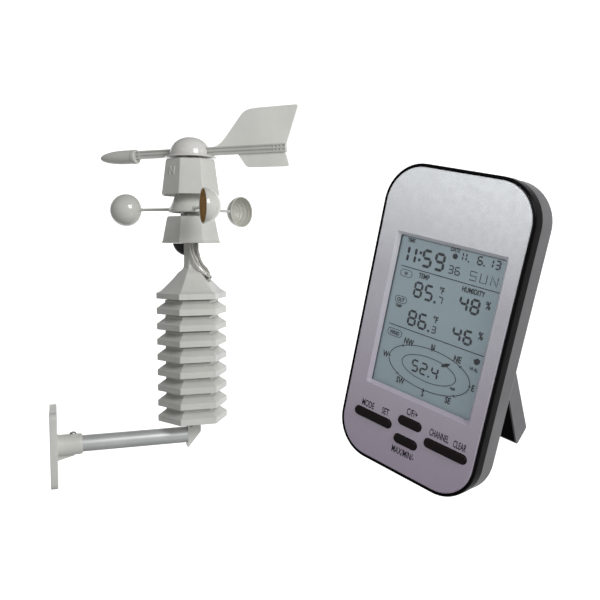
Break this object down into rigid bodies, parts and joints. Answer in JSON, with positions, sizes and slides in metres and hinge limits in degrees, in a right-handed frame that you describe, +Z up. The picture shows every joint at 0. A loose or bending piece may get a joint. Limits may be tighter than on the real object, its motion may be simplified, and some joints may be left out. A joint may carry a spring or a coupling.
{
  "type": "home weather station",
  "caption": "Wall-held weather mast with wind vane, cup rotor and louvred sensor shield, with an indoor display console on a folding kickstand.",
  "frame": {"origin": "middle of the wall plate's back face, which lies flat on the wall", "axes": "+X runs from the wall along the arm, +Z is up the mast, and the console stands on the -Y side"},
  "size_m": [0.2686, 0.5621, 0.3938],
  "materials": {
    "pale_plastic": "warm grey moulded plastic, fine matt grain",
    "cup_plastic": "grey-green moulded plastic",
    "satin_tube": "satin drawn tube",
    "steel": "plain steel",
    "dark_plastic": "dark moulded plastic",
    "black_gloss": "polished black plastic",
    "silver_face": "satin silver paint on plastic",
    "grey_plastic": "grey moulded plastic",
    "display": "grey-blue liquid crystal panel",
    "clear_window": "clear window",
    "circuit_board": "green circuit board",
    "rubber": "moulded rubber",
    "cable_jacket": "grey soft jacket",
    "battery_wrap": "plain wrapped cell",
    "magnet": "plain magnet"
  },
  "bodies": {
    "mast": {"wall_plate": "pale_plastic", "boss_screw": "steel", "arm_tube": "satin_tube", "elbow_post": "pale_plastic", "elbow_screw": "steel", "louvre_1": "pale_plastic", "louvre_2": "pale_plastic", "louvre_3": "pale_plastic", "louvre_4": "pale_plastic", "louvre_5": "pale_plastic", "louvre_6": "pale_plastic", "louvre_7": "pale_plastic", "louvre_8": "pale_plastic", "shield_cap": "pale_plastic", "tie_rod_1": "steel", "tie_rod_2": "steel", "tie_rod_3": "steel", "battery_sled": "dark_plastic", "mast_battery_1": "battery_wrap", "mast_battery_2": "battery_wrap", "sensor_board": "circuit_board", "lower_housing": "pale_plastic", "wind_board": "circuit_board", "reed_switch": "steel", "centre_spindle": "steel", "clamp_disc": "dark_plastic", "upper_housing": "pale_plastic", "vane_board": "circuit_board", "vane_bearing": "steel", "cable_1": "cable_jacket", "cable_2": "cable_jacket", "cable_sleeve": "cable_jacket"},
    "rotor": {"cup_hub": "cup_plastic", "cup_1": "cup_plastic", "cup_2": "cup_plastic", "cup_3": "cup_plastic", "rotor_bearing_lower": "steel", "rotor_bearing_upper": "steel", "rotor_magnet": "magnet"},
    "vane": {"vane_dome": "pale_plastic", "vane_shaft": "steel", "vane_boom": "pale_plastic", "tail_fin": "pale_plastic", "nose_weight": "pale_plastic"},
    "console": {"front_shell": "silver_face", "rim_band": "black_gloss", "rear_shell": "grey_plastic", "lcd_window": "clear_window", "lcd_panel": "display", "main_board": "circuit_board", "key_mat": "rubber", "stand_pin": "steel", "console_battery_1": "battery_wrap", "console_battery_2": "battery_wrap"},
    "mode_set": {"mode_set_key": "black_gloss"},
    "plus": {"plus_key": "black_gloss"},
    "minus": {"minus_key": "black_gloss"},
    "channel_clear": {"channel_clear_key": "black_gloss"},
    "stand": {"kickstand": "grey_plastic"},
    "door": {"battery_door": "grey_plastic"}
  },
  "joints": [
    {"name": "vane_turn", "type": "hinge", "parent": "mast", "child": "vane", "pos_m": [0.151, 0, 0.31], "axis": [0, 0, 1], "continuous": true},
    {"name": "rotor_spin", "type": "hinge", "parent": "mast", "child": "rotor", "pos_m": [0.151, 0, 0.2492], "axis": [0, 0, 1], "continuous": true},
    {"name": "console_lift", "type": "slide", "parent": "mast", "child": "console", "axis": [0, 0, 1], "range_m": [0, 0.2]},
    {"name": "stand_fold", "type": "hinge", "parent": "console", "child": "stand", "pos_m": [0.21482, -0.43238, 0.16482], "axis": [0.4433, -0.8712, -0.2112], "range_deg": [-40.4, 0]},
    {"name": "door_slide", "type": "slide", "parent": "console", "child": "door", "axis": [0.1275, -0.1719, 0.9768], "range_m": [0, 0.012]},
    {"name": "mode_set_rock", "type": "hinge", "parent": "console", "child": "mode_set", "pos_m": [0.18165, -0.40829, 0.11186], "axis": [0.1275, -0.1719, 0.9768], "range_deg": [-3, 3], "stiffness_Nm_per_rad": 0.3},
    {"name": "channel_clear_rock", "type": "hinge", "parent": "console", "child": "channel_clear", "pos_m": [0.20324, -0.45072, 0.10158], "axis": [0.1275, -0.1719, 0.9768], "range_deg": [-3, 3], "stiffness_Nm_per_rad": 0.3},
    {"name": "plus_press", "type": "slide", "parent": "console", "child": "plus", "axis": [0.8873, 0.4599, -0.0349], "range_m": [0, 0.0008], "stiffness_N_per_m": 1500},
    {"name": "minus_press", "type": "slide", "parent": "console", "child": "minus", "axis": [0.8873, 0.4599, -0.0349], "range_m": [0, 0.0008], "stiffness_N_per_m": 1500}
  ]
}
